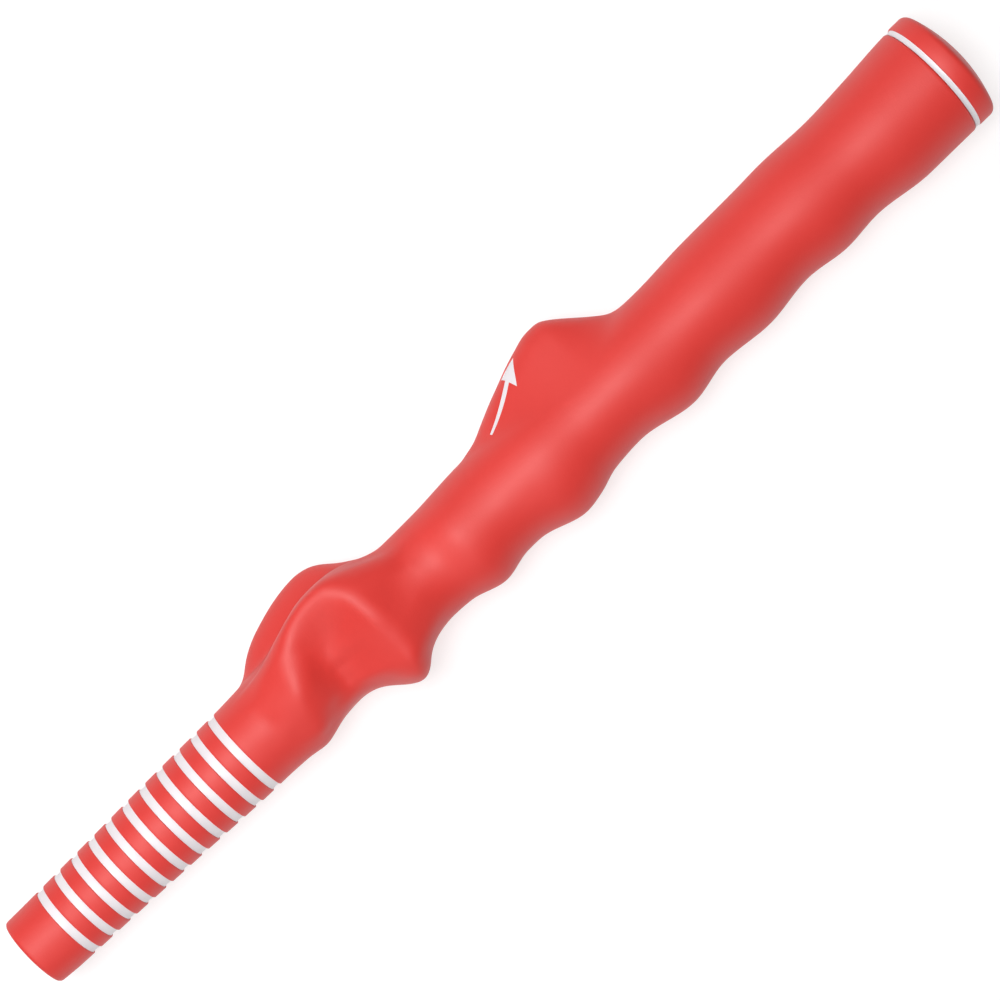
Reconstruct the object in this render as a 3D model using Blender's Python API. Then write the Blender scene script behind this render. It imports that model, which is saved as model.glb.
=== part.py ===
"""Golf swing training grip: a hand-moulded rubber sleeve that slips on a shaft, with its butt cap,
its white rings and its alignment mark.

The grip lies on its right-hand side. +X runs along the bore from the mouth to the butt, +Y is the
thumb side and +Z the left-hand side, facing up. The origin is at the bottom centre of its box.
"""
import math

import bmesh
import bpy
import numpy as np

MM = 0.001

# All lengths below are millimetres. A station is the distance from the mouth end. An angle is
# measured round the bore, from the left side (0) over the thumb line (90) to the right side (180).
LENGTH = 269.0
SIDES = 32

# Hand surface: the radius from the bore's axis along four lines.
UNDER = ((0, 8.45), (3, 8.8), (20, 9.3), (40, 10), (62, 10.75), (72, 10.7), (112, 10.75), (117, 11),
         (125.5, 13.2), (133, 11.8), (136, 11.8), (147.5, 14.65), (152.5, 13.85), (158, 12.2), (166, 11.6),
         (179.5, 13.85), (190, 12.1), (202, 13.1), (214.5, 11.75), (225, 12.95), (234, 12.3), (248, 13.8),
         (LENGTH, 13.8))
LEFT = ((0, 8.3), (20, 8.8), (40, 9.4), (62, 10.2), (68.5, 10.8), (74, 10.8), (112, 10.4), (117, 10.3),
        (125, 11.8), (134, 11.35), (148, 12.5), (159, 11.8), (174, 12.35), (184, 12.05), (196, 12.35),
        (210, 12.1), (225, 12.5), (234, 12.35), (248, 13.3), (262, 13.75), (LENGTH, 13.8))
TOP = ((0, 8.35), (20, 8.65), (40, 9.1), (62, 9.4), (70, 9.7), (112, 10.3), (120, 10.4), (135, 11.2),
       (160, 11.4), (186, 11.25), (200, 11.9), (216, 12.15), (224, 12.4), (236, 12), (248, 12.6), (260, 13.5),
       (LENGTH, 13.8))
RIGHT = ((0, 8.3), (20, 8.8), (40, 9.4), (62, 10.2), (72, 10.5), (112, 10.8), (125, 11.6), (134, 11.2),
         (147, 11.9), (158, 11.7), (170, 12.4), (184, 13.0), (193, 12.1), (206, 12.9), (217, 12.0),
         (229, 12.9), (240, 12.5), (252, 13.4), (262, 13.8), (LENGTH, 13.8))

# Trigger-finger saddle: its height over the hand surface along guide lines at these angles. The
# lines from -90 to 36 cross the finger channel: a low rim, the channel floor, then the flange.
SADDLE = {
    -90: ((62, 0), (70, 0.3), (74.5, 0.95), (78, 0.2), (82, -0.9), (86, -1.3), (89, -0.7), (92, 0.9),
          (96, 4.2), (98.4, 5.3), (100.4, 4.8), (104, 1.9), (108, 0.5), (112, 0)),
    -60: ((64, 0), (70, 0.5), (75, 1.1), (79, 0.1), (82.5, -0.9), (86, -1.2), (89.5, -0.5), (94, 2),
          (97.3, 5.2), (99.2, 6.3), (101.3, 5.7), (104, 3.6), (108, 1.4), (112, 0.3), (116, 0)),
    -45: ((65, 0), (70, 0.4), (76.5, 1.5), (80, 0.2), (83.5, -1.2), (86.5, -1.6), (89, -0.8), (98, 4.7),
          (100.2, 5.8), (102, 5.4), (105, 3.7), (109, 1.6), (113, 0.3), (116, 0)),
    -30: ((66, 0), (72, 0.6), (77, 1.5), (81, 0.4), (84.5, -1.3), (86.8, -2.1), (89, -1.5), (98.6, 3.6),
          (100.8, 4.4), (102.5, 4.2), (105, 3.1), (109, 1.5), (113, 0.3), (116, 0)),
    -15: ((67.5, 0), (72, 0.8), (77.8, 1.9), (81.5, 0.8), (85, -1.2), (87.2, -2), (89.4, -1.5), (98.4, 3.1),
          (100.6, 3.9), (102.4, 3.8), (105, 2.9), (109, 1.5), (113, 0.3), (116, 0)),
    0: ((68, 0), (70, 0.2), (72, 0.9), (75.5, 2), (78.8, 2.7), (81.8, 1.8), (85.2, -0.5), (87.4, -1.1),
        (89.5, -0.6), (98, 3.3), (100.2, 4.4), (102, 4.3), (105, 2.9), (109, 1.2), (113, 0.3), (117, 0)),
    15: ((68, 0), (72, 1), (75.5, 2.1), (80, 3.3), (83, 2.7), (86.5, 0.6), (88.6, 0.2), (91, 0.8),
         (97.8, 4.2), (99.8, 5.3), (101.4, 5.2), (104.8, 3.6), (109, 1.5), (113, 0.4), (117, 0)),
    27: ((66.5, 0), (70, 0.5), (75, 2.2), (81.2, 4.2), (84.2, 3.8), (87.5, 2.8), (90, 2.7), (93, 3.6),
         (97.3, 5.8), (99.3, 6.7), (101, 6.5), (104.2, 5.1), (109, 2.6), (113.5, 0.3), (116.5, 0)),
    36: ((66.5, 0), (70, 0.4), (76, 2.9), (81, 5), (84.8, 6), (88, 5.9), (91, 6.1), (94.5, 7.1), (97.5, 7.9),
         (100, 7.5), (103.5, 5.9), (108, 3.4), (112.5, 0.9), (115, 0.1), (118, 0)),
    43: ((66.5, 0), (70, 0.4), (76, 2.6), (82, 5.4), (88, 7.9), (92.5, 8.9), (96, 9.1), (98, 8.8), (100, 7.9),
         (103.5, 5.9), (108, 3.2), (112, 1), (115, 0.1), (118, 0)),
    51: ((66, 0), (71, 0.6), (77, 2.4), (83, 4.7), (88, 6.5), (93, 7.6), (97, 7.6), (99.5, 7), (103, 5.2),
         (107.5, 2.6), (112, 0.6), (116, 0)),
    60: ((68, 0), (75.6, 0.4), (82, 2.6), (87.2, 4.7), (90.5, 5.7), (95.4, 6.1), (98.5, 5.9), (101.5, 5),
         (105, 3.1), (109, 1.2), (112.5, 0.2), (115, 0)),
    72: ((68, 0), (75.6, 0.2), (82, 1.7), (87.2, 3.3), (90.5, 4.1), (95.4, 4.4), (99, 4.4), (101.5, 4),
         (104.5, 2.9), (109, 0.9), (113, 0)),
    88: ((67, 0), (75, 0.3), (84, 1.2), (94, 2.2), (100, 2.3), (104, 1.5), (108, 0.4), (112, 0)),
    114: ((68, 0), (71, 1.4), (74, 4.2), (78, 6.7), (82, 8.2), (86, 9.4), (90, 10.1), (93, 10.3), (96, 9.8),
          (99, 8.2), (102, 5.3), (104.5, 3.4), (108, 1.2), (113, 0)),
    135: ((66, 0), (72, 0.8), (80, 3.2), (88, 5), (94, 5.6), (99, 4.6), (104, 2.2), (112, 0)),
    155: ((64, 0), (72, 0.8), (80, 2.6), (88, 3.9), (95, 4.4), (100, 3.7), (105, 1.8), (113, 0)),
    180: ((64, 0), (74, 0.8), (84, 2), (96, 3.1), (102, 2.3), (108, 0.8), (114, 0)),
    205: ((64, 0), (74, 0.8), (84, 2.3), (93, 3.7), (98, 4.4), (102, 3.7), (107, 1.3), (114, 0)),
    230: ((62, 0), (72, 0.8), (80, 1.2), (86, 1.3), (92, 2.6), (97.5, 4.9), (101, 4.6), (105, 2), (112, 0)),
}

# Thumb rest: a bump with a round crest at this angle and straight flanks down to the hand surface.
THUMB_CREST = ((132, 0), (136, 11.2), (140, 12.2), (144, 14), (148, 15.8), (152, 17.4), (156, 19),
               (160, 20.3), (164, 21.3), (167, 21.3), (169.5, 19.9), (172, 17.9), (176, 14.45), (180, 11.7),
               (184, 11), (188, 0))
THUMB_ANGLE = 92.0
THUMB_ROUND = 5.0

# Bore for the shaft, and the counterbore that takes the cap's spigot.
MOUTH_BORE = 5.8
BUTT_BORE = 7.6
COUNTERBORE = 10.8
COUNTERBORE_START = 258.5
MOUTH_ROUND = 0.7

# White rings in grooves round the mouth end.
RING_COUNT = 11
FIRST_RING = 10.3
RING_PITCH = 5.05
RING_WIDTH = 1.9
RING_SUNK = 0.3
RING_FLOOR = 0.8
GAP = 0.1

# Butt cap and the white line in front of it.
SLEEVE_END = 262.3
CAP_START = 262.5
CAP_LINE_START = 261.35
CAP_LINE_END = CAP_START - GAP
SPIGOT = 10.5
SPIGOT_END = 259.0
VENT = 1.5
CAP_RADIUS = 13.8
CAP_FLAT = 5.0
CAP_DOME_RADIUS = 36.0
CAP_ROUND = 1.5

# Alignment arrow on the thumb rest, pointing to the butt: its middle, and its flat outline.
ARROW_MIDDLE = (150.8, 74.5)
ARROW_TURN = 20.0
ARROW_TAIL = -7.2
ARROW_NECK = 3.6
ARROW_TIP = 8.4
ARROW_SHAFT = 0.5
ARROW_HEAD = 2.2
ARROW_FLOOR = 0.5
ARROW_PROUD = 0.05

RED = (0.78, 0.055, 0.045)
WHITE = (0.88, 0.87, 0.90)


def smooth_curve(points):
    """A smooth curve through the points that never overshoots them."""
    x, y = (np.array(values, float) for values in zip(*points))
    step = np.diff(x)
    slope = np.diff(y) / step
    product = slope[:-1] * slope[1:]
    total = slope[:-1] + slope[1:]
    lean = np.zeros(len(x))
    lean[1:-1] = np.where(product > 0, 2 * product / np.where(total == 0, 1, total), 0)

    def curve(at):
        at = np.clip(at, x[0], x[-1])
        k = np.clip(np.searchsorted(x, at) - 1, 0, len(step) - 1)
        t = (at - x[k]) / step[k]
        blend = t * t * (3 - 2 * t)
        bend = lean[k] * t * (1 - t) ** 2 - lean[k + 1] * t * t * (1 - t)
        return y[k] * (1 - blend) + y[k + 1] * blend + step[k] * bend

    return curve


def hand_radius(stations, angles):
    """The plain hand surface: the four lines joined by half ellipses."""
    up = np.sin(np.radians(angles))
    side = np.cos(np.radians(angles))
    s = stations[:, None]
    flank = np.where(side > 0, smooth_curve(LEFT)(s), smooth_curve(RIGHT)(s))
    face = np.where(up > 0, smooth_curve(TOP)(s), smooth_curve(UNDER)(s))
    return flank * side ** 2 + face * up ** 2


def saddle_height(stations, angles):
    """The saddle: a smooth curve along each guide line, then smooth curves round the grip."""
    guides = sorted(SADDLE)
    turns = [guide + turn for turn in (-360, 0, 360) for guide in guides]
    along = np.array([smooth_curve(SADDLE[guide])(stations) for guide in guides])
    return np.array([smooth_curve(zip(turns, list(heights) * 3))(angles) for heights in along.T])


def add_thumb_rest(stations, angles, radius):
    """The convex outline round the hand surface and the crest's round nose, at each station."""
    crest = smooth_curve(THUMB_CREST)(stations)[:, None]
    lean = np.radians(np.abs((angles - THUMB_ANGLE + 180) % 360 - 180))
    centre = np.maximum(crest - THUMB_ROUND, 0.01)
    normal = np.arccos(np.clip((radius - THUMB_ROUND) / centre, -1, 1))
    touch = np.arctan2(THUMB_ROUND * np.sin(normal), centre + THUMB_ROUND * np.cos(normal))
    reach = np.sqrt(np.clip(THUMB_ROUND ** 2 - (centre * np.sin(lean)) ** 2, 0, None))
    nose = centre * np.cos(lean) + reach
    flank = radius / np.maximum(np.cos(lean - normal), 0.05)
    hull = np.where(lean < touch, nose, np.where(lean < normal, flank, radius))
    return np.where(crest > radius, np.maximum(hull, radius), radius)


def soften(grid, passes):
    """Rounds the creases between the surfaces."""
    for _ in range(passes):
        padded = np.concatenate([grid[:1], grid, grid[-1:]])
        grid = (padded[:-2] + 2 * grid + padded[2:]) / 4
        grid = (np.roll(grid, 1, 1) + 2 * grid + np.roll(grid, -1, 1)) / 4
    return grid


SURFACE_STATIONS = np.linspace(0, LENGTH, 535)
SURFACE_ANGLES = np.arange(-90, 270, 2.25)


def moulded_surface():
    """The finished outer surface: a radius at each surface station and angle."""
    radius = hand_radius(SURFACE_STATIONS, SURFACE_ANGLES)
    radius = radius + saddle_height(SURFACE_STATIONS, SURFACE_ANGLES)
    radius = add_thumb_rest(SURFACE_STATIONS, SURFACE_ANGLES, radius)
    return soften(radius, 5)


SURFACE = moulded_surface()
LOOP_ANGLES = SURFACE_ANGLES[::len(SURFACE_ANGLES) // SIDES]


def outer(station, depth=0.0):
    """A loop on the outer surface, or this far under it: (station, radii)."""
    columns = SURFACE[:, ::len(SURFACE_ANGLES) // SIDES]
    radii = [np.interp(station, SURFACE_STATIONS, column) for column in columns.T]
    return station, np.array(radii) - depth


def circle(station, radius):
    """A round loop: (station, radii)."""
    return station, np.full(SIDES, float(radius))


def surface_radius(station, angle):
    """The outer radius anywhere, in straight steps between the surface's points."""
    row = np.array([np.interp(station, SURFACE_STATIONS, column) for column in SURFACE.T])
    turn = (angle + 90) % 360 - 90
    return float(np.interp(turn, SURFACE_ANGLES, row, period=360))


def point(station, angle, radius):
    """A place round the bore's axis, in metres."""
    turn = math.radians(angle)
    x = station - LENGTH / 2
    return (x * MM, radius * math.sin(turn) * MM, radius * math.cos(turn) * MM)


def material(name, color, roughness):
    finish = bpy.data.materials.new(name)
    finish.use_nodes = True
    shader = finish.node_tree.nodes["Principled BSDF"]
    shader.inputs["Base Color"].default_value = (*color, 1.0)
    shader.inputs["Roughness"].default_value = roughness
    shader.inputs["Metallic"].default_value = 0.0
    return finish


def make_object(name, mesh_data, finish):
    """An object from a bmesh, with its faces pointing out."""
    bmesh.ops.recalc_face_normals(mesh_data, faces=mesh_data.faces)
    mesh = bpy.data.meshes.new(name)
    mesh_data.to_mesh(mesh)
    mesh_data.free()
    mesh.materials.append(finish)
    mesh.shade_smooth()
    mesh.set_sharp_from_angle(angle=math.radians(40))
    made = bpy.data.objects.new(name, mesh)
    bpy.context.scene.collection.objects.link(made)
    return made


def closed_tube(name, loops, finish):
    """A ring-shaped body: each loop is joined to the next, and the last one to the first."""
    bm = bmesh.new()
    rows = []
    for station, radii in loops:
        rows.append([bm.verts.new(point(station, a, r)) for a, r in zip(LOOP_ANGLES, radii)])
    for row, following in zip(rows, rows[1:] + rows[:1]):
        for k in range(SIDES):
            after = (k + 1) % SIDES
            bm.faces.new((row[k], row[after], following[after], following[k]))
    return make_object(name, bm, finish)


def ring_middles():
    return [FIRST_RING + RING_PITCH * k for k in range(RING_COUNT)]


def sleeve_loops():
    """The sleeve's loops: outside from mouth to butt, then back through the bore."""
    floor = RING_FLOOR + GAP
    loops = [outer(0, MOUTH_ROUND), outer(0.2 * MOUTH_ROUND, 0.2 * MOUTH_ROUND), outer(MOUTH_ROUND)]
    for middle in ring_middles():
        near = middle - RING_WIDTH / 2 - GAP
        far = middle + RING_WIDTH / 2 + GAP
        loops += [outer(near), outer(near, floor), outer(far, floor), outer(far)]
    loops += [outer(station) for station in np.arange(64, 114, 2)]
    loops += [outer(station) for station in np.arange(115, 260, 3)]
    line = CAP_LINE_START - GAP
    loops += [outer(line), outer(line, floor), outer(SLEEVE_END, floor)]
    loops += [circle(SLEEVE_END, COUNTERBORE), circle(COUNTERBORE_START, COUNTERBORE)]
    for station in (COUNTERBORE_START, 172, 86, 0):
        loops.append(circle(station, MOUTH_BORE + (BUTT_BORE - MOUTH_BORE) * station / COUNTERBORE_START))
    return loops


def ring_loops(near, far):
    """A paint ring's four loops, just under the outer surface."""
    return [outer(near, RING_SUNK), outer(far, RING_SUNK), outer(far, RING_FLOOR), outer(near, RING_FLOOR)]


def cap_loops():
    """The cap's loops: vent, flat middle, domed face, rounded corner, side, back, spigot and vent again."""
    flat_edge = math.asin(CAP_FLAT / CAP_DOME_RADIUS)
    dome_middle = LENGTH - CAP_DOME_RADIUS * math.cos(flat_edge)
    round_middle = CAP_RADIUS - CAP_ROUND
    meet = math.asin(round_middle / (CAP_DOME_RADIUS - CAP_ROUND))
    corner = dome_middle + (CAP_DOME_RADIUS - CAP_ROUND) * math.cos(meet)
    loops = [circle(LENGTH, VENT)]
    for turn in np.linspace(flat_edge, meet, 4):
        loops.append(circle(dome_middle + CAP_DOME_RADIUS * math.cos(turn), CAP_DOME_RADIUS * math.sin(turn)))
    for turn in np.linspace(meet, math.pi / 2, 4)[1:]:
        loops.append(circle(corner + CAP_ROUND * math.cos(turn), round_middle + CAP_ROUND * math.sin(turn)))
    loops += [circle(CAP_START, CAP_RADIUS), circle(CAP_START, SPIGOT)]
    loops += [circle(SPIGOT_END, SPIGOT), circle(SPIGOT_END, VENT)]
    return loops


def arrow_slab(name, grow, sunk, proud, finish):
    """The arrow as a thin slab that follows the surface, from sunk below it to proud above it."""
    tail, tip = ARROW_TAIL - grow, ARROW_TIP + 2 * grow
    shaft, head = ARROW_SHAFT + grow, ARROW_HEAD + 2 * grow
    neck = ARROW_NECK - grow
    strip = [(tail + (neck - tail) * k / 3, shaft) for k in range(4)]
    flat = [(along, side * half) for along, half in strip for side in (-1, 1)]
    flat += [(neck, -head), (neck, head), (tip, 0.0)]
    faces = [(2 * k, 2 * k + 2, 2 * k + 3, 2 * k + 1) for k in range(3)]
    faces += [(8, 10, 6), (6, 10, 7), (7, 10, 9)]
    bm = bmesh.new()
    low = [bm.verts.new(arrow_point(along, across, -sunk)) for along, across in flat]
    high = [bm.verts.new(arrow_point(along, across, proud)) for along, across in flat]
    for corners in faces:
        bm.faces.new([high[k] for k in corners])
    rim = [edge for edge in bm.edges if edge.is_boundary]
    order = {vert: k for k, vert in enumerate(high)}
    for edge in rim:
        a, b = (order[vert] for vert in edge.verts)
        bm.faces.new((high[a], high[b], low[b], low[a]))
    for corners in faces:
        bm.faces.new([low[k] for k in reversed(corners)])
    return make_object(name, bm, finish)


def arrow_point(along, across, height):
    """A place near the surface, from the arrow's flat outline laid over the thumb rest."""
    station, angle = ARROW_MIDDLE
    turn = math.radians(ARROW_TURN)
    radius = surface_radius(station, angle)
    lean = math.degrees((along * math.sin(turn) + across * math.cos(turn)) / radius)
    at = station + along * math.cos(turn) - across * math.sin(turn)
    reach = surface_radius(at, angle + lean)
    return point(at, angle + lean, reach + height)


def cut_pocket(body, cutter):
    """Cuts the cutter's shape out of a body."""
    cutter.hide_render = True
    cutter.display_type = "WIRE"
    cut = body.modifiers.new("pocket", "BOOLEAN")
    cut.operation = "DIFFERENCE"
    cut.object = cutter
    cut.solver = "EXACT"


def stand_on_origin(made, body):
    """Moves everything so that the body's box stands on the origin, centred over it."""
    corners = np.array([body.matrix_world @ vertex.co for vertex in body.data.vertices])
    low = corners.min(axis=0)
    high = corners.max(axis=0)
    for piece in made:
        piece.location.y = -(low[1] + high[1]) / 2
        piece.location.z = -low[2]


def build():
    for old in list(bpy.data.objects):
        bpy.data.objects.remove(old)
    rubber = material("red_rubber", RED, 0.5)
    cap_rubber = material("red_cap_rubber", RED, 0.45)
    paint = material("white_paint", WHITE, 0.5)
    sleeve = closed_tube("grip_sleeve", sleeve_loops(), rubber)
    made = [sleeve, closed_tube("butt_cap", cap_loops(), cap_rubber)]
    made.append(closed_tube("cap_ring", ring_loops(CAP_LINE_START, CAP_LINE_END), paint))
    for number, middle in enumerate(ring_middles(), start=1):
        loops = ring_loops(middle - RING_WIDTH / 2, middle + RING_WIDTH / 2)
        made.append(closed_tube(f"white_ring_{number:02d}", loops, paint))
    made.append(arrow_slab("arrow_mark", 0.0, ARROW_FLOOR, ARROW_PROUD, paint))
    cutter = arrow_slab("arrow_cutter", GAP, ARROW_FLOOR + GAP, 2.0, paint)
    cut_pocket(sleeve, cutter)
    stand_on_origin(made + [cutter], sleeve)


build()
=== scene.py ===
"""The looks of the golf swing training grip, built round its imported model.

Every piece is mesh work in code: the rubber sleeve with its hand contours, grooves, bore and arrow
recess, the butt cap, the paint in the grooves, and the paint arrow. Lengths are millimetres until
point() turns them into metres.
"""

import math

import bmesh
import bpy
import numpy as np
from mathutils import Matrix, Vector


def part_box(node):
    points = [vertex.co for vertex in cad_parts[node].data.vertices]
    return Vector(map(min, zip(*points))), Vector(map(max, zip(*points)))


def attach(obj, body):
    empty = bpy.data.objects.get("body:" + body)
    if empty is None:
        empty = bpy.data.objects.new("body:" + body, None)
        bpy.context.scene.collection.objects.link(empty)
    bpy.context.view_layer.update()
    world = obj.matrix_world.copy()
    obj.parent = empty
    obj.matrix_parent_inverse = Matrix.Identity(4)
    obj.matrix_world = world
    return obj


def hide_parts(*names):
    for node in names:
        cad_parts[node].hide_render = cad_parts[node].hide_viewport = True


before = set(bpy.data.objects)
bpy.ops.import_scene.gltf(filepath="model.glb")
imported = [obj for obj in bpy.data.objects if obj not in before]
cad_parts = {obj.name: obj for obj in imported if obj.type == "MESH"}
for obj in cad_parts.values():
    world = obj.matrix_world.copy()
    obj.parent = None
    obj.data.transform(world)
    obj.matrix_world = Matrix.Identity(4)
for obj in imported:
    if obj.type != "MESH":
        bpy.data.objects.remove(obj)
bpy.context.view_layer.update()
MM = 0.001

# The bore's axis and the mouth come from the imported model.
AXIS_Y = (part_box("butt_cap")[0].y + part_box("butt_cap")[1].y) / 2
AXIS_Z = (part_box("butt_cap")[0].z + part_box("butt_cap")[1].z) / 2
MOUTH_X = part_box("grip_sleeve")[0].x

# A station is the distance from the mouth end. An angle is measured round the bore, from the left
# side (0) over the thumb line (90) to the right side (180).
LENGTH = 269.0

# Hand surface: the radius from the bore's axis along four lines.
UNDER = ((0, 8.45), (3, 8.8), (20, 9.3), (40, 10), (62, 10.75), (72, 10.7), (112, 10.75), (117, 11),
         (125.5, 13.2), (133, 11.8), (136, 11.8), (147.5, 14.65), (152.5, 13.85), (158, 12.2), (166, 11.6),
         (179.5, 13.85), (190, 12.1), (202, 13.1), (214.5, 11.75), (225, 12.95), (234, 12.3), (248, 13.8),
         (LENGTH, 13.8))
LEFT = ((0, 8.3), (20, 8.8), (40, 9.4), (62, 10.2), (68.5, 10.8), (74, 10.8), (112, 10.4), (117, 10.3),
        (125, 11.8), (134, 11.35), (148, 12.5), (159, 11.8), (174, 12.35), (184, 12.05), (196, 12.35),
        (210, 12.1), (225, 12.5), (234, 12.35), (248, 13.3), (262, 13.75), (LENGTH, 13.8))
TOP = ((0, 8.35), (20, 8.65), (40, 9.1), (62, 9.4), (70, 9.7), (112, 10.3), (120, 10.4), (135, 11.2),
       (160, 11.4), (186, 11.25), (200, 11.9), (216, 12.15), (224, 12.4), (236, 12), (248, 12.6), (260, 13.5),
       (LENGTH, 13.8))
RIGHT = ((0, 8.3), (20, 8.8), (40, 9.4), (62, 10.2), (72, 10.5), (112, 10.8), (125, 11.6), (134, 11.2),
         (147, 11.9), (158, 11.7), (170, 12.4), (184, 13.0), (193, 12.1), (206, 12.9), (217, 12.0),
         (229, 12.9), (240, 12.5), (252, 13.4), (262, 13.8), (LENGTH, 13.8))

# Trigger-finger saddle: its height over the hand surface along guide lines at these angles. The
# lines from -90 to 36 cross the finger channel: a low rim, the channel floor, then the flange.
SADDLE = {
    -90: ((62, 0), (70, 0.3), (74.5, 0.95), (78, 0.2), (82, -0.9), (86, -1.3), (89, -0.7), (92, 0.9),
          (96, 4.2), (98.4, 5.3), (100.4, 4.8), (104, 1.9), (108, 0.5), (112, 0)),
    -60: ((64, 0), (70, 0.5), (75, 1.1), (79, 0.1), (82.5, -0.9), (86, -1.2), (89.5, -0.5), (94, 2),
          (97.3, 5.2), (99.2, 6.3), (101.3, 5.7), (104, 3.6), (108, 1.4), (112, 0.3), (116, 0)),
    -45: ((65, 0), (70, 0.4), (76.5, 1.5), (80, 0.2), (83.5, -1.2), (86.5, -1.6), (89, -0.8), (98, 4.7),
          (100.2, 5.8), (102, 5.4), (105, 3.7), (109, 1.6), (113, 0.3), (116, 0)),
    -30: ((66, 0), (72, 0.6), (77, 1.5), (81, 0.4), (84.5, -1.3), (86.8, -2.1), (89, -1.5), (98.6, 3.6),
          (100.8, 4.4), (102.5, 4.2), (105, 3.1), (109, 1.5), (113, 0.3), (116, 0)),
    -15: ((67.5, 0), (72, 0.8), (77.8, 1.9), (81.5, 0.8), (85, -1.2), (87.2, -2), (89.4, -1.5), (98.4, 3.1),
          (100.6, 3.9), (102.4, 3.8), (105, 2.9), (109, 1.5), (113, 0.3), (116, 0)),
    0: ((68, 0), (70, 0.2), (72, 0.9), (75.5, 2), (78.8, 2.7), (81.8, 1.8), (85.2, -0.5), (87.4, -1.1),
        (89.5, -0.6), (98, 3.3), (100.2, 4.4), (102, 4.3), (105, 2.9), (109, 1.2), (113, 0.3), (117, 0)),
    15: ((68, 0), (72, 1), (75.5, 2.1), (80, 3.3), (83, 2.7), (86.5, 0.6), (88.6, 0.2), (91, 0.8),
         (97.8, 4.2), (99.8, 5.3), (101.4, 5.2), (104.8, 3.6), (109, 1.5), (113, 0.4), (117, 0)),
    27: ((66.5, 0), (70, 0.5), (75, 2.2), (81.2, 4.2), (84.2, 3.8), (87.5, 2.8), (90, 2.7), (93, 3.6),
         (97.3, 5.8), (99.3, 6.7), (101, 6.5), (104.2, 5.1), (109, 2.6), (113.5, 0.3), (116.5, 0)),
    36: ((66.5, 0), (70, 0.4), (76, 2.9), (81, 5), (84.8, 6), (88, 5.9), (91, 6.1), (94.5, 7.1), (97.5, 7.9),
         (100, 7.5), (103.5, 5.9), (108, 3.4), (112.5, 0.9), (115, 0.1), (118, 0)),
    43: ((66.5, 0), (70, 0.4), (76, 2.6), (82, 5.4), (88, 7.9), (92.5, 8.9), (96, 9.1), (98, 8.8), (100, 7.9),
         (103.5, 5.9), (108, 3.2), (112, 1), (115, 0.1), (118, 0)),
    51: ((66, 0), (71, 0.6), (77, 2.4), (83, 4.7), (88, 6.5), (93, 7.6), (97, 7.6), (99.5, 7), (103, 5.2),
         (107.5, 2.6), (112, 0.6), (116, 0)),
    60: ((68, 0), (75.6, 0.4), (82, 2.6), (87.2, 4.7), (90.5, 5.7), (95.4, 6.1), (98.5, 5.9), (101.5, 5),
         (105, 3.1), (109, 1.2), (112.5, 0.2), (115, 0)),
    72: ((68, 0), (75.6, 0.2), (82, 1.7), (87.2, 3.3), (90.5, 4.1), (95.4, 4.4), (99, 4.4), (101.5, 4),
         (104.5, 2.9), (109, 0.9), (113, 0)),
    88: ((67, 0), (75, 0.3), (84, 1.2), (94, 2.2), (100, 2.3), (104, 1.5), (108, 0.4), (112, 0)),
    114: ((68, 0), (71, 1.4), (74, 4.2), (78, 6.7), (82, 8.2), (86, 9.4), (90, 10.1), (93, 10.3), (96, 9.8),
          (99, 8.2), (102, 5.3), (104.5, 3.4), (108, 1.2), (113, 0)),
    135: ((66, 0), (72, 0.8), (80, 3.2), (88, 5), (94, 5.6), (99, 4.6), (104, 2.2), (112, 0)),
    155: ((64, 0), (72, 0.8), (80, 2.6), (88, 3.9), (95, 4.4), (100, 3.7), (105, 1.8), (113, 0)),
    180: ((64, 0), (74, 0.8), (84, 2), (96, 3.1), (102, 2.3), (108, 0.8), (114, 0)),
    205: ((64, 0), (74, 0.8), (84, 2.3), (93, 3.7), (98, 4.4), (102, 3.7), (107, 1.3), (114, 0)),
    230: ((62, 0), (72, 0.8), (80, 1.2), (86, 1.3), (92, 2.6), (97.5, 4.9), (101, 4.6), (105, 2), (112, 0)),
}

# Thumb rest: a bump with a round crest at this angle and straight flanks down to the hand surface.
THUMB_CREST = ((132, 0), (136, 11.2), (140, 12.2), (144, 14), (148, 15.8), (152, 17.4), (156, 19),
               (160, 20.3), (164, 21.3), (167, 21.3), (169.5, 19.9), (172, 17.9), (176, 14.45), (180, 11.7),
               (184, 11), (188, 0))
THUMB_ANGLE = 92.0
THUMB_ROUND = 5.0

# The outer surface is worked out on this grid, and its creases are then softened.
GRID_STATIONS = 535
GRID_STEP = 2.0
SOFTENING = 5

# Bore for the shaft, and the counterbore that takes the cap's spigot.
MOUTH_BORE = 5.8
BUTT_BORE = 7.6
BORE_EDGE = 0.25
COUNTERBORE = 10.8
COUNTERBORE_START = 258.5
MOUTH_ROUND = 0.7
BORE_LOOPS = 30

# Spacing of the sleeve's loops: along the plain surface, clear of a groove's edge, and clear of
# the shoulder at the cap line.
LOOP_STEP = 0.6
EDGE_CLEAR = 0.5
SHOULDER_CLEAR = 1.0
BAND_LOOPS = 3

# White rings in grooves round the mouth end.
RING_COUNT = 11
FIRST_RING = 10.3
RING_PITCH = 5.05
RING_WIDTH = 1.9
RING_SUNK = 0.3
RING_FLOOR = 0.8
RING_HOLLOW = 0.1
GROOVE_EDGE = 0.18

# Butt cap and the white line in front of it.
SLEEVE_END = 262.3
CAP_START = 262.5
CAP_LINE_START = 261.35
CAP_LINE_SUNK = 0.12
SHOULDER = 0.5
SPIGOT = 10.5
SPIGOT_END = 259.0
VENT = 1.5
VENT_EDGE = 0.3
CAP_RADIUS = 13.8
CAP_FLAT = 5.0
CAP_DOME_RADIUS = 36.0
CAP_ROUND = 1.5
CAP_BACK_EDGE = 0.3
CAP_BACK_ROUND = 0.08
DOME_LOOPS = 8
CORNER_LOOPS = 7

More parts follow.
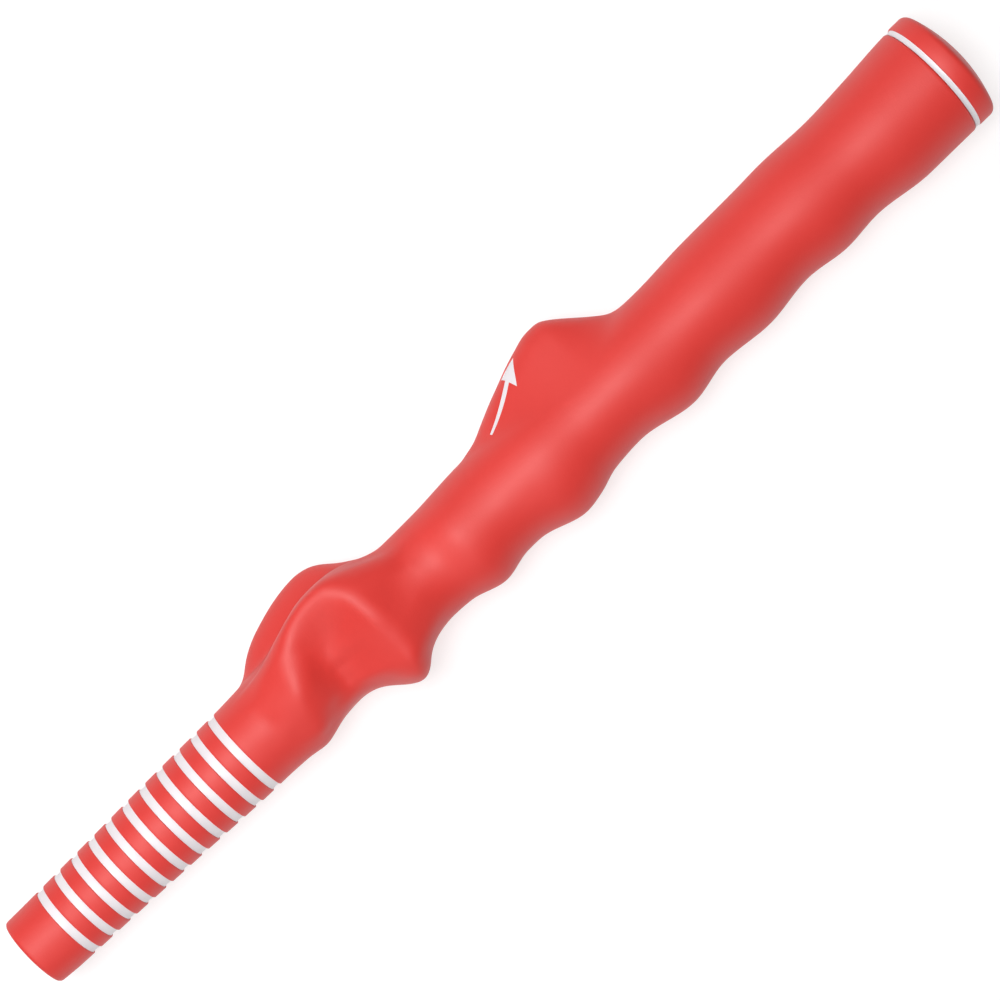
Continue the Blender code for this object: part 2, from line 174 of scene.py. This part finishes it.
# Alignment arrow on the thumb rest, pointing to the butt: its middle, and its flat outline.
ARROW_MIDDLE = (150.8, 74.5)
ARROW_TURN = 20.0
ARROW_TAIL = -7.2
ARROW_NECK = 3.6
ARROW_TIP = 8.4
ARROW_SHAFT = 0.5
ARROW_HEAD = 2.2
ARROW_SUNK = 0.08
ARROW_THICK = 0.4
ARROW_GAP = 0.02
ARROW_STEP = 0.45
ARROW_GRID = ((Vector((1, 0, 0)), 8.0), (Vector((0, 1, 0)), 3.0))
CUTTER_PROUD = 1.0

# Faces that meet at more than this angle, in degrees, show a sharp edge.
CREASE = 35.0

# Moulded rubber: two reds mottled together, an uneven gloss, and a fine grain.
DEEP_RED = (0.69, 0.038, 0.030)
BRIGHT_RED = (0.73, 0.043, 0.035)
RUBBER_ROUGHNESS = (0.47, 0.55)
MOTTLE_SCALE = 55
PATCH_SCALE = 120
GRAIN_SCALE = 2600
GRAIN_ROUGHNESS = 0.6
GRAIN_STRENGTH = 0.25

# Filling paint: two whites, unevenly wiped.
DULL_WHITE = (0.77, 0.73, 0.76)
CLEAN_WHITE = (0.84, 0.80, 0.83)
PAINT_ROUGHNESS = (0.3, 0.5)
WIPED_SCALE = 400
WIPED_STRENGTH = 0.3

# The bumps of the grain and of the wiped paint, in metres.
BUMP_HEIGHT = 0.0001

# Camera: it looks square at the bore's axis from the left-hand side.
CAMERA_STATION = 133.5
CAMERA_LENS = 128.3
CAMERA_DISTANCE = 745.0
CAMERA_ROLL = 44.17
CAMERA_SIDE = 1.86
CAMERA_UP = 1.61

# Lights: name, tilt, turn, width and power, as make_light takes them. The distance is in metres.
LIGHTS = (("key", 8, 195, 19, 1.85), ("wide_key", 25, 155, 48, 1.6), ("low_fill", 45, 270, 36, 0.6),
          ("side_fill", 60, 130, 50, 0.2))
LIGHT_DISTANCE = 0.9

# Floor and surround: the floor's side is in metres, and it glows a little, so that its far end is pale.
FLOOR_SIZE = 40.0
FLOOR_GREY = 0.35
FLOOR_ROUGHNESS = 0.9
FLOOR_GLOW = 0.7
SURROUND_GLOW = 0.05


def smooth_curve(points):
    """A smooth curve through the points that never overshoots them."""
    x, y = (np.array(values, float) for values in zip(*points))
    step = np.diff(x)
    slope = np.diff(y) / step
    product = slope[:-1] * slope[1:]
    total = slope[:-1] + slope[1:]
    lean = np.zeros(len(x))
    lean[1:-1] = np.where(product > 0, 2 * product / np.where(total == 0, 1, total), 0)

    def curve(at):
        at = np.clip(at, x[0], x[-1])
        k = np.clip(np.searchsorted(x, at) - 1, 0, len(step) - 1)
        t = (at - x[k]) / step[k]
        blend = t * t * (3 - 2 * t)
        bend = lean[k] * t * (1 - t) ** 2 - lean[k + 1] * t * t * (1 - t)
        return y[k] * (1 - blend) + y[k + 1] * blend + step[k] * bend

    return curve


def hand_radius(stations, angles):
    """The plain hand surface: the four lines joined by half ellipses."""
    up = np.sin(np.radians(angles))
    side = np.cos(np.radians(angles))
    s = stations[:, None]
    flank = np.where(side > 0, smooth_curve(LEFT)(s), smooth_curve(RIGHT)(s))
    face = np.where(up > 0, smooth_curve(TOP)(s), smooth_curve(UNDER)(s))
    return flank * side ** 2 + face * up ** 2


def saddle_height(stations, angles):
    """The saddle: a smooth curve along each guide line, then smooth curves round the grip."""
    guides = sorted(SADDLE)
    turns = [guide + turn for turn in (-360, 0, 360) for guide in guides]
    along = np.array([smooth_curve(SADDLE[guide])(stations) for guide in guides])
    return np.array([smooth_curve(zip(turns, list(heights) * 3))(angles) for heights in along.T])


def add_thumb_rest(stations, angles, radius):
    """The convex outline round the hand surface and the crest's round nose, at each station."""
    crest = smooth_curve(THUMB_CREST)(stations)[:, None]
    lean = np.radians(np.abs((angles - THUMB_ANGLE + 180) % 360 - 180))
    centre = np.maximum(crest - THUMB_ROUND, 0.01)
    normal = np.arccos(np.clip((radius - THUMB_ROUND) / centre, -1, 1))
    touch = np.arctan2(THUMB_ROUND * np.sin(normal), centre + THUMB_ROUND * np.cos(normal))
    reach = np.sqrt(np.clip(THUMB_ROUND ** 2 - (centre * np.sin(lean)) ** 2, 0, None))
    nose = centre * np.cos(lean) + reach
    flank = radius / np.maximum(np.cos(lean - normal), 0.05)
    hull = np.where(lean < touch, nose, np.where(lean < normal, flank, radius))
    return np.where(crest > radius, np.maximum(hull, radius), radius)


def soften(grid, passes):
    """Rounds the creases between the surfaces."""
    for _ in range(passes):
        padded = np.concatenate([grid[:1], grid, grid[-1:]])
        grid = (padded[:-2] + 2 * grid + padded[2:]) / 4
        grid = (np.roll(grid, 1, 1) + 2 * grid + np.roll(grid, -1, 1)) / 4
    return grid


SURFACE_STATIONS = np.linspace(0, LENGTH, GRID_STATIONS)
SURFACE_ANGLES = np.arange(-90, 270, GRID_STEP)
COLUMNS = len(SURFACE_ANGLES)


def moulded_surface():
    """The finished outer surface: a radius at each surface station and angle."""
    radius = hand_radius(SURFACE_STATIONS, SURFACE_ANGLES)
    radius = radius + saddle_height(SURFACE_STATIONS, SURFACE_ANGLES)
    radius = add_thumb_rest(SURFACE_STATIONS, SURFACE_ANGLES, radius)
    return soften(radius, SOFTENING)


SURFACE = moulded_surface()


def outer(station, depth=0.0):
    """A loop on the outer surface, or this far under it: (station, radii)."""
    step = SURFACE_STATIONS[1]
    row = min(int(station / step), len(SURFACE_STATIONS) - 2)
    share = station / step - row
    return station, SURFACE[row] * (1 - share) + SURFACE[row + 1] * share - depth


def circle(station, radius):
    """A round loop: (station, radii)."""
    return station, np.full(COLUMNS, float(radius))


def surface_radius(station, angle):
    """The outer radius anywhere."""
    turn = (angle + 90) % 360 - 90
    return float(np.interp(turn, SURFACE_ANGLES, outer(station)[1], period=360))


def point(station, angle, radius):
    """A place round the bore's axis, in metres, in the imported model's frame."""
    turn = np.radians(angle)
    side = radius * np.sin(turn)
    rise = radius * np.cos(turn)
    return (MOUTH_X + station * MM, AXIS_Y + side * MM, AXIS_Z + rise * MM)


def make_object(name, bm, finish):
    """An object from a bmesh, with its faces pointing out."""
    bmesh.ops.recalc_face_normals(bm, faces=bm.faces)
    mesh = bpy.data.meshes.new(name)
    bm.to_mesh(mesh)
    bm.free()
    mesh.materials.append(finish)
    mesh.shade_smooth()
    mesh.set_sharp_from_angle(angle=math.radians(CREASE))
    made = bpy.data.objects.new(name, mesh)
    bpy.context.scene.collection.objects.link(made)
    return made


def closed_tube(name, loops, finish):
    """A ring-shaped body: each loop is joined to the next, and the last one to the first."""
    bm = bmesh.new()
    rows = []
    for station, radii in loops:
        rows.append([bm.verts.new(point(station, a, r)) for a, r in zip(SURFACE_ANGLES, radii)])
    for row, following in zip(rows, rows[1:] + rows[:1]):
        for k in range(COLUMNS):
            after = (k + 1) % COLUMNS
            bm.faces.new((row[k], row[after], following[after], following[k]))
    return make_object(name, bm, finish)


def rounded(station, facing, edge):
    """Loops over an outer edge: facing 1 where the surface ends towards the butt, else -1."""
    turns = [math.radians(degrees) for degrees in (0, 30, 60, 90)]
    steps = [(edge * (1 - math.sin(turn)), edge * (1 - math.cos(turn))) for turn in turns]
    loops = [outer(station - facing * back, depth) for back, depth in steps]
    return loops if facing > 0 else loops[::-1]


def ring_middles():
    return [FIRST_RING + RING_PITCH * k for k in range(RING_COUNT)]


def sleeve_loops():
    """The sleeve's loops: outside from mouth to butt, then back through the bore."""
    loops = [circle(0, MOUTH_BORE + BORE_EDGE)]
    loops += rounded(0, -1, MOUTH_ROUND)
    for middle in ring_middles():
        near = middle - RING_WIDTH / 2
        far = middle + RING_WIDTH / 2
        start = loops[-1][0] + LOOP_STEP
        loops += [outer(station) for station in np.linspace(start, near - EDGE_CLEAR, BAND_LOOPS)]
        loops += rounded(near, 1, GROOVE_EDGE) + [outer(near, RING_FLOOR)]
        loops += [outer(far, RING_FLOOR)] + rounded(far, -1, GROOVE_EDGE)
    last = loops[-1][0]
    end = CAP_LINE_START - SHOULDER_CLEAR
    count = int((end - last) / LOOP_STEP)
    loops += [outer(station) for station in np.linspace(last + EDGE_CLEAR, end, count)]
    loops += rounded(CAP_LINE_START, 1, SHOULDER)
    loops += [outer(CAP_LINE_START, RING_FLOOR), outer(SLEEVE_END, RING_FLOOR)]
    loops += [circle(SLEEVE_END, COUNTERBORE), circle(COUNTERBORE_START, COUNTERBORE)]
    for station in np.linspace(COUNTERBORE_START, BORE_EDGE, BORE_LOOPS):
        share = station / COUNTERBORE_START
        loops.append(circle(station, MOUTH_BORE + (BUTT_BORE - MOUTH_BORE) * share))
    return loops


def paint_loops(near, far, sunk):
    """Paint in a groove: its top is a little hollow, as it dried."""
    loops = []
    for share in (-1, -0.8, -0.4, 0, 0.4, 0.8, 1):
        station = (near + far) / 2 + share * (far - near) / 2
        loops.append(outer(station, sunk + RING_HOLLOW * (1 - share * share)))
    return loops + [outer(far, RING_FLOOR), outer(near, RING_FLOOR)]


def cap_loops():
    """The cap's loops: vent, flat middle, dome, rounded corner, side, back, spigot and vent again."""
    flat_edge = math.asin(CAP_FLAT / CAP_DOME_RADIUS)
    dome_middle = LENGTH - CAP_DOME_RADIUS * math.cos(flat_edge)
    round_middle = CAP_RADIUS - CAP_ROUND
    meet = math.asin(round_middle / (CAP_DOME_RADIUS - CAP_ROUND))
    corner = dome_middle + (CAP_DOME_RADIUS - CAP_ROUND) * math.cos(meet)
    loops = [circle(LENGTH - VENT_EDGE, VENT), circle(LENGTH, VENT + VENT_EDGE)]
    for turn in np.linspace(flat_edge, meet, DOME_LOOPS):
        station = dome_middle + CAP_DOME_RADIUS * math.cos(turn)
        loops.append(circle(station, CAP_DOME_RADIUS * math.sin(turn)))
    for turn in np.linspace(meet, math.pi / 2, CORNER_LOOPS)[1:]:
        station = corner + CAP_ROUND * math.cos(turn)
        loops.append(circle(station, round_middle + CAP_ROUND * math.sin(turn)))
    loops.append(circle(CAP_START + CAP_BACK_EDGE, CAP_RADIUS))
    loops.append(circle(CAP_START + CAP_BACK_ROUND, CAP_RADIUS - CAP_BACK_ROUND))
    loops += [circle(CAP_START, CAP_RADIUS - CAP_BACK_EDGE), circle(CAP_START, SPIGOT)]
    return loops + [circle(SPIGOT_END, SPIGOT), circle(SPIGOT_END, VENT)]


def arrow_point(along, across, height):
    """A place near the surface, from the arrow's flat outline laid over the thumb rest."""
    station, angle = ARROW_MIDDLE
    turn = math.radians(ARROW_TURN)
    radius = surface_radius(station, angle)
    lean = math.degrees((along * math.sin(turn) + across * math.cos(turn)) / radius)
    at = station + along * math.cos(turn) - across * math.sin(turn)
    reach = surface_radius(at, angle + lean)
    return point(at, angle + lean, reach + height)


def arrow_outline(grow):
    """The arrow's flat outline, grown outwards on every side."""
    tail, tip = ARROW_TAIL - grow, ARROW_TIP + 2 * grow
    shaft, head = ARROW_SHAFT + grow, ARROW_HEAD + 2 * grow
    neck = ARROW_NECK - grow
    side = [(tail, shaft), (neck, shaft), (neck, head), (tip, 0.0)]
    return side + [(along, -across) for along, across in side[-2::-1]]


def arrow_slab(name, grow, low, high, finish):
    """The arrow as a slab that follows the surface, between two heights over it."""
    bm = bmesh.new()
    bm.faces.new([bm.verts.new((along, across, 0)) for along, across in arrow_outline(grow)])
    for axis, reach in ARROW_GRID:
        for offset in np.arange(-reach, reach, ARROW_STEP):
            parts = bm.verts[:] + bm.edges[:] + bm.faces[:]
            bmesh.ops.bisect_plane(bm, geom=parts, dist=1e-6, plane_co=axis * offset, plane_no=axis)
    grown = bmesh.ops.extrude_face_region(bm, geom=bm.faces[:])
    top = {part for part in grown["geom"] if isinstance(part, bmesh.types.BMVert)}
    for vert in bm.verts:
        vert.co = arrow_point(vert.co.x, vert.co.y, high if vert in top else low)
    return make_object(name, bm, finish)


def cut_recess(body, cutter):
    """Cuts the cutter out of a body, applies the cut and removes the cutter."""
    cut = body.modifiers.new("recess", "BOOLEAN")
    cut.operation = "DIFFERENCE"
    cut.object = cutter
    cut.solver = "EXACT"
    bpy.context.view_layer.update()
    finished = body.evaluated_get(bpy.context.evaluated_depsgraph_get())
    cut_mesh = bpy.data.meshes.new_from_object(finished)
    body.modifiers.clear()
    body.data = cut_mesh
    body.data.set_sharp_from_angle(angle=math.radians(CREASE))
    bpy.data.objects.remove(cutter)


def new_material(name):
    """A material, with its node tree and its shader."""
    made = bpy.data.materials.new(name)
    made.use_nodes = True
    return made, made.node_tree, made.node_tree.nodes["Principled BSDF"]


def noise(tree, source, scale, detail, roughness=0.5):
    """A noise texture on the object's own coordinates, as a value between 0 and 1."""
    made = tree.nodes.new("ShaderNodeTexNoise")
    made.inputs["Scale"].default_value = scale
    made.inputs["Detail"].default_value = detail
    made.inputs["Roughness"].default_value = roughness
    tree.links.new(source.outputs["Object"], made.inputs["Vector"])
    return made.outputs["Fac"]


def spread(tree, value, low, high):
    """A value between 0 and 1, spread between low and high."""
    made = tree.nodes.new("ShaderNodeMapRange")
    made.inputs["To Min"].default_value = low
    made.inputs["To Max"].default_value = high
    tree.links.new(value, made.inputs["Value"])
    return made.outputs["Result"]


def mix(tree, share, first, second):
    """A colour between two colours."""
    made = tree.nodes.new("ShaderNodeMix")
    made.data_type = "RGBA"
    made.inputs["A"].default_value = (*first, 1.0)
    made.inputs["B"].default_value = (*second, 1.0)
    tree.links.new(share, made.inputs["Factor"])
    return made.outputs["Result"]


def add_bump(tree, shader, height, strength):
    """Raises and lowers the surface by a value between 0 and 1."""
    bump = tree.nodes.new("ShaderNodeBump")
    bump.inputs["Strength"].default_value = strength
    bump.inputs["Distance"].default_value = BUMP_HEIGHT
    tree.links.new(height, bump.inputs["Height"])
    tree.links.new(bump.outputs["Normal"], shader.inputs["Normal"])


def rubber_material():
    """Satin moulded rubber: a fine moulded grain, faint mottling and a slightly uneven gloss."""
    made, tree, shader = new_material("moulded_red_rubber")
    where = tree.nodes.new("ShaderNodeTexCoord")
    mottle = noise(tree, where, MOTTLE_SCALE, 4)
    tree.links.new(mix(tree, mottle, DEEP_RED, BRIGHT_RED), shader.inputs["Base Color"])
    patches = noise(tree, where, PATCH_SCALE, 3)
    tree.links.new(spread(tree, patches, *RUBBER_ROUGHNESS), shader.inputs["Roughness"])
    grain = noise(tree, where, GRAIN_SCALE, 3, GRAIN_ROUGHNESS)
    add_bump(tree, shader, grain, GRAIN_STRENGTH)
    return made


def paint_material():
    """White filling paint: a soft gloss and a faint unevenness from wiping."""
    made, tree, shader = new_material("white_filling_paint")
    where = tree.nodes.new("ShaderNodeTexCoord")
    wiped = noise(tree, where, WIPED_SCALE, 4)
    tree.links.new(mix(tree, wiped, DULL_WHITE, CLEAN_WHITE), shader.inputs["Base Color"])
    tree.links.new(spread(tree, wiped, *PAINT_ROUGHNESS), shader.inputs["Roughness"])
    add_bump(tree, shader, wiped, WIPED_STRENGTH)
    return made


def floor_material():
    """A matt pale floor with a little glow."""
    made, _, shader = new_material("pale_floor")
    shader.inputs["Base Color"].default_value = (FLOOR_GREY, FLOOR_GREY, FLOOR_GREY, 1.0)
    shader.inputs["Roughness"].default_value = FLOOR_ROUGHNESS
    shader.inputs["Emission Color"].default_value = (1.0, 1.0, 1.0, 1.0)
    shader.inputs["Emission Strength"].default_value = FLOOR_GLOW
    return made


def stands_for(piece, node):
    """The piece rides on the grip's only body in place of the node."""
    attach(piece, "root")
    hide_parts(node)


def build_grip():
    rubber = rubber_material()
    paint = paint_material()
    sleeve = closed_tube("moulded_sleeve", sleeve_loops(), rubber)
    cutter = arrow_slab("arrow_cutter", ARROW_GAP, -ARROW_THICK, CUTTER_PROUD, rubber)
    cut_recess(sleeve, cutter)
    stands_for(sleeve, "grip_sleeve")
    cap = closed_tube("moulded_cap", cap_loops(), rubber)
    stands_for(cap, "butt_cap")
    line = closed_tube("cap_line_paint", paint_loops(CAP_LINE_START, CAP_START, CAP_LINE_SUNK), paint)
    stands_for(line, "cap_ring")
    for number, middle in enumerate(ring_middles(), start=1):
        loops = paint_loops(middle - RING_WIDTH / 2, middle + RING_WIDTH / 2, RING_SUNK)
        ring = closed_tube(f"ring_paint_{number:02d}", loops, paint)
        stands_for(ring, f"white_ring_{number:02d}")
    arrow = arrow_slab("arrow_paint", 0.0, -ARROW_THICK, -ARROW_SUNK, paint)
    stands_for(arrow, "arrow_mark")


def look_directions():
    """The camera's right, up and back directions."""
    roll = math.radians(CAMERA_ROLL)
    right = Vector((math.cos(roll), -math.sin(roll), 0))
    up = Vector((math.sin(roll), math.cos(roll), 0))
    return right, up, Vector((0, 0, 1))


def make_camera():
    right, up, back = look_directions()
    middle = Vector(point(CAMERA_STATION, 0, 0))
    place = middle + right * CAMERA_SIDE * MM + up * CAMERA_UP * MM + back * CAMERA_DISTANCE * MM
    data = bpy.data.cameras.new("camera")
    data.lens = CAMERA_LENS
    data.sensor_width = 36.0
    camera = bpy.data.objects.new("camera", data)
    camera.matrix_world = Matrix.Translation(place) @ Matrix((right, up, back)).transposed().to_4x4()
    bpy.context.scene.collection.objects.link(camera)
    bpy.context.scene.camera = camera


def make_light(name, tilt, turn, width, power):
    """A square soft light, aimed at the grip. Its tilt is measured from the camera's line of sight,
    its turn from the camera's right towards up, and its width is the angle that it fills, seen from
    the grip, all in degrees."""
    right, up, back = look_directions()
    tilt, turn = math.radians(tilt), math.radians(turn)
    across = right * math.cos(turn) + up * math.sin(turn)
    data = bpy.data.lights.new(name, "AREA")
    data.size = 2 * LIGHT_DISTANCE * math.tan(math.radians(width / 2))
    data.energy = power * math.pi * LIGHT_DISTANCE ** 2
    lamp = bpy.data.objects.new(name, data)
    lamp.location = (across * math.sin(tilt) + back * math.cos(tilt)) * LIGHT_DISTANCE
    lamp.rotation_mode = "QUATERNION"
    lamp.rotation_quaternion = lamp.location.to_track_quat("Z", "Y")
    bpy.context.scene.collection.objects.link(lamp)


def make_floor():
    bm = bmesh.new()
    bmesh.ops.create_grid(bm, x_segments=1, y_segments=1, size=FLOOR_SIZE / 2)
    floor = make_object("floor", bm, floor_material())


def make_surround():
    """A faint white light from all round."""
    world = bpy.data.worlds.new("surround")
    world.use_nodes = True
    background = world.node_tree.nodes["Background"]
    background.inputs["Color"].default_value = (1.0, 1.0, 1.0, 1.0)
    background.inputs["Strength"].default_value = SURROUND_GLOW
    bpy.context.scene.world = world


def make_studio():
    """A pale floor, a faint surround and soft lights."""
    make_floor()
    make_surround()
    for light in LIGHTS:
        make_light(*light)
    bpy.context.scene.view_settings.view_transform = "Standard"


build_grip()
make_camera()
make_studio()
